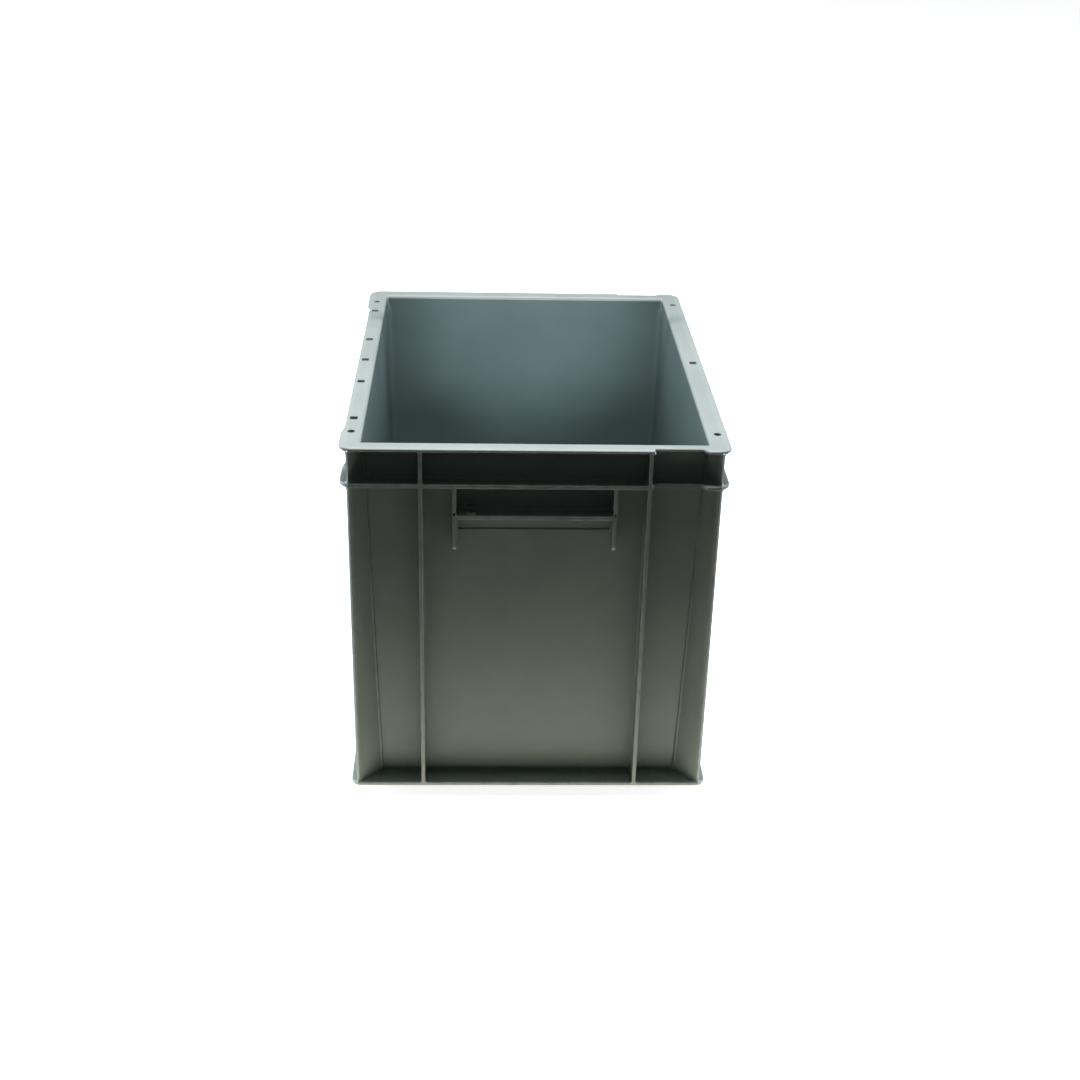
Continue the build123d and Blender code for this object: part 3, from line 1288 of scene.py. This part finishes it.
@dataclass
class BaseGrid:
    """Low stiffening ribs under the floor, inside the stacking foot.

    Attributes:
        rounding: Radius of the ribs' free edges.
        thickness: Thickness of one rib.
        embed: How far the ribs sink into the floor and the foot.
        columns: Number of ribs that run along Y.
        rows: Number of ribs that run along X.
    """

    rounding: float = 0.4 * MM
    thickness: float = 2.0 * MM
    embed: float = 0.8 * MM
    columns: int = 3
    rows: int = 5

    def build(self) -> None:
        """Draw the grid as two crossing sets of bars."""
        long_low, long_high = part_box("base_ribs_lengthwise")
        cross_low, cross_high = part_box("base_ribs_crosswise")
        mesh = bmesh.new()
        reach = self.thickness / 2
        spread_x = (long_high.x - long_low.x) / 2 - reach
        spread_y = (cross_high.y - cross_low.y) / 2 - reach
        for number in range(self.columns):
            x = spread_x * (2 * number / (self.columns - 1) - 1)
            low = Vector((x - reach, long_low.y - self.embed, long_low.z))
            high = Vector((x + reach, long_high.y + self.embed, long_high.z + self.embed))
            absorb(mesh, block(low, high, self.rounding))
        for number in range(self.rows):
            y = spread_y * (2 * number / (self.rows - 1) - 1)
            low = Vector((cross_low.x - self.embed, y - reach, cross_low.z))
            high = Vector((cross_high.x + self.embed, y + reach, cross_high.z + self.embed))
            absorb(mesh, block(low, high, self.rounding))
        grid = as_object("base_grid", mesh)
        finish_piece(grid, ["base_ribs_lengthwise", "base_ribs_crosswise"], Finish.OUTSIDE)


# ---------------------------------------------------------------- studio


@dataclass(frozen=True)
class Lamp:
    """A studio light: a softbox, or a spotlight with a soft edge if it has a beam.

    Attributes:
        name: Name of the light.
        place: Where it hangs.
        target: What it points at.
        size: Width and height of a softbox's face, or twice a spotlight's radius.
        power: Watts.
        tint: Its colour.
        beam: Full angle of a spotlight's beam in degrees, or none for a softbox.
    """

    name: str
    place: tuple[float, float, float]
    target: tuple[float, float, float]
    size: tuple[float, float]
    power: float
    tint: str = "#ffffff"
    beam: float | None = None

    def build(self) -> None:
        """Hang the light."""
        light = bpy.data.lights.new(self.name, "SPOT" if self.beam else "AREA")
        if self.beam:
            light.spot_size = math.radians(self.beam)
            light.spot_blend = 1.0
            light.shadow_soft_size = self.size[0] / 2
        else:
            light.shape = "RECTANGLE"
            light.size, light.size_y = self.size
        light.energy = self.power
        light.color = srgb(self.tint)[:3]
        lamp = bpy.data.objects.new(self.name, light)
        lamp.location = self.place
        aim = Vector(self.target) - Vector(self.place)
        lamp.rotation_euler = aim.to_track_quat("-Z", "Y").to_euler()
        lamp.visible_camera = False
        bpy.context.scene.collection.objects.link(lamp)


@dataclass
class Studio:
    """Pale floor, soft lights and the camera.

    Attributes:
        camera_place: Where the camera stands.
        pitch: How far it looks down, in degrees.
        yaw: How far it is turned towards +X, in degrees.
        roll: How far it is tilted, in degrees.
        lens: Focal length in millimetres.
        sensor: Width of the camera's sensor in millimetres.
        floor_size: Side of the floor.
        acrylic: The floor's surface.
        ring_drop: How far the strip and the card lie under the ground.
        strip_gap: Gap between the crate's outline and the light strip round its base.
        strip_width: Width of that strip.
        strip: Its surface.
        card_gap: Gap between the crate's outline and the card round it that sends light back up.
        card_width: Width of that card.
        card: Its surface.
        flag_box: Lowest and highest corner of the flag over the mouth.
        felt: The flag's surface.
        ambient: Colour of the light from all round.
        ambient_strength: Its strength.
        backdrop_strength: How bright the pale backdrop behind the floor looks.
        lamps: The lights.
    """

    camera_place: tuple[float, float, float] = (-0.0419, -1.3227, 0.7831)
    pitch: float = 25.807
    yaw: float = 2.361
    roll: float = 1.405
    lens: float = 53.67
    sensor: float = 36.0
    floor_size: float = 14.0
    acrylic: StudioSurface = StudioSurface("acrylic, lit from below", "#dddddd", 1.2)
    ring_drop: float = 1 * MM
    strip_gap: float = 1 * MM
    strip_width: float = 20 * MM
    strip: StudioSurface = StudioSurface("strip, warm", "#fff2dc", 1.3)
    card_gap: float = 22 * MM
    card_width: float = 135 * MM
    card: StudioSurface = StudioSurface("card, cream", "#e6dfcd", 0.44)
    flag_box: tuple[tuple[float, float, float], ...] = ((-0.13, 0.1, 0.347), (0.13, 0.101, 0.385))
    felt: StudioSurface = StudioSurface("felt, black", "#101010")
    ambient: str = "#e9ebec"
    ambient_strength: float = 0.05
    backdrop_strength: float = 0.9
    lamps: tuple[Lamp, ...] = (
        Lamp("overhead_softbox", (0.0, 0.3, 3.8), (0.0, 0.3, 0.0), (1.7, 1.5), 125.0, "#f6fbff"),
        Lamp("mouth_softbox", (0.0, -0.1, 0.9), (0.0, -0.1, 0.0), (0.36, 0.17), 5.2, "#f6fbff"),
        Lamp("left_softbox", (-1.8, 0.45, 0.6), (0.0, 0.15, 0.2), (1.1, 0.9), 42.0, "#eef6ff"),
        Lamp("right_softbox", (1.8, 0.45, 0.6), (0.0, 0.15, 0.2), (1.1, 0.9), 34.0, "#eef6ff"),
        Lamp("inside_spot", (0.0, -2.6, 1.42), (0.005, 0.188, 0.3), (0.03, 0.03), 260.0, "#effaff",
             5.4),
    )

    def build(self) -> None:
        """Set up the floor, the light strip, the card, the flag, the lights and the camera."""
        scene = bpy.context.scene
        scene.view_settings.view_transform = "Standard"
        self.floor()
        self.ring("light_strip", self.strip_gap, self.strip_width, self.strip)
        self.ring("bounce_card", self.card_gap, self.card_width, self.card)
        self.flag()
        for lamp in self.lamps:
            lamp.build()
        world = bpy.data.worlds.new("studio air")
        world.use_nodes = True
        tree = world.node_tree
        seen = add_node(tree, "ShaderNodeLightPath").outputs["Is Camera Ray"]
        strength = add_node(
            tree, "ShaderNodeMapRange",
            {"To Min": self.ambient_strength, "To Max": self.backdrop_strength},
            {"Value": seen}).outputs["Result"]
        sky = tree.nodes["Background"]
        sky.inputs["Color"].default_value = srgb(self.ambient)
        tree.links.new(strength, sky.inputs["Strength"])
        scene.world = world
        scene.camera = self.camera()

    def floor(self) -> None:
        """White acrylic floor, lit from below; only the strip and the card light the crate up."""
        mesh = bmesh.new()
        bmesh.ops.create_grid(mesh, x_segments=1, y_segments=1, size=self.floor_size / 2)
        floor = as_object("studio_floor", mesh)
        floor.data.materials.append(self.acrylic.material())
        floor.visible_diffuse = floor.visible_glossy = floor.visible_shadow = False
        floor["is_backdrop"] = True

    def ring(self, name: str, gap: float, width: float, surface: StudioSurface) -> None:
        """Flat ring round the crate's base, just under the floor's level, that lights it from below.

        Args:
            name: Name of the ring.
            gap: Distance from the crate's outline to the ring.
            width: Width of the ring.
            surface: What it is made of.
        """
        low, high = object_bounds()
        reach = gap + width
        mesh = bmesh.new()
        bmesh.ops.create_grid(mesh, x_segments=1, y_segments=1, size=1.0)
        bmesh.ops.scale(mesh, verts=mesh.verts, vec=(high[0] + reach, high[1] + reach, 1.0))
        bmesh.ops.translate(mesh, verts=mesh.verts, vec=(0.0, 0.0, low[2] - self.ring_drop))
        bmesh.ops.inset_region(
            mesh, faces=mesh.faces[:], thickness=width, use_boundary=True, use_even_offset=True)
        middle = min(mesh.faces, key=lambda face: face.calc_center_median().length)
        bmesh.ops.delete(mesh, geom=[middle], context="FACES")
        ring = as_object(name, mesh)
        ring.data.materials.append(surface.material())
        ring.visible_camera = False
        ring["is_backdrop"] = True

    def flag(self) -> None:
        """Flag on a boom over the mouth, which keeps the inside spot off the rim behind it."""
        flag = as_object("boom_flag", block(*(Vector(corner) for corner in self.flag_box)))
        flag.data.materials.append(self.felt.material())
        flag.visible_camera = flag.visible_diffuse = flag.visible_glossy = False
        flag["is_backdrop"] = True

    def camera(self) -> Piece:
        """The camera, at its place and turned by its three angles.

        Returns:
            The camera's object.
        """
        data = bpy.data.cameras.new("camera")
        data.lens = self.lens
        data.sensor_width = self.sensor
        camera = bpy.data.objects.new("camera", data)
        level = Matrix.Rotation(math.radians(90), 4, "X")
        down = Matrix.Rotation(math.radians(-self.pitch), 4, "X")
        aside = Matrix.Rotation(math.radians(-self.yaw), 4, "Z")
        tilt = Matrix.Rotation(math.radians(self.roll), 4, "Z")
        camera.matrix_world = Matrix.Translation(self.camera_place) @ aside @ down @ level @ tilt
        bpy.context.scene.collection.objects.link(camera)
        return camera


def main() -> None:
    """Build the crate, its stage, lights and camera."""
    logging.basicConfig(level=logging.INFO, format="%(message)s")
    sizes = Sizes()
    shell = Shell(sizes)
    shell.dress(shell.build())
    Uprights(sizes).build()
    for end in ENDS:
        Handle(sizes, end).build()
    BaseGrid().build()
    Studio().build()


if __name__ == "__main__":
    main()
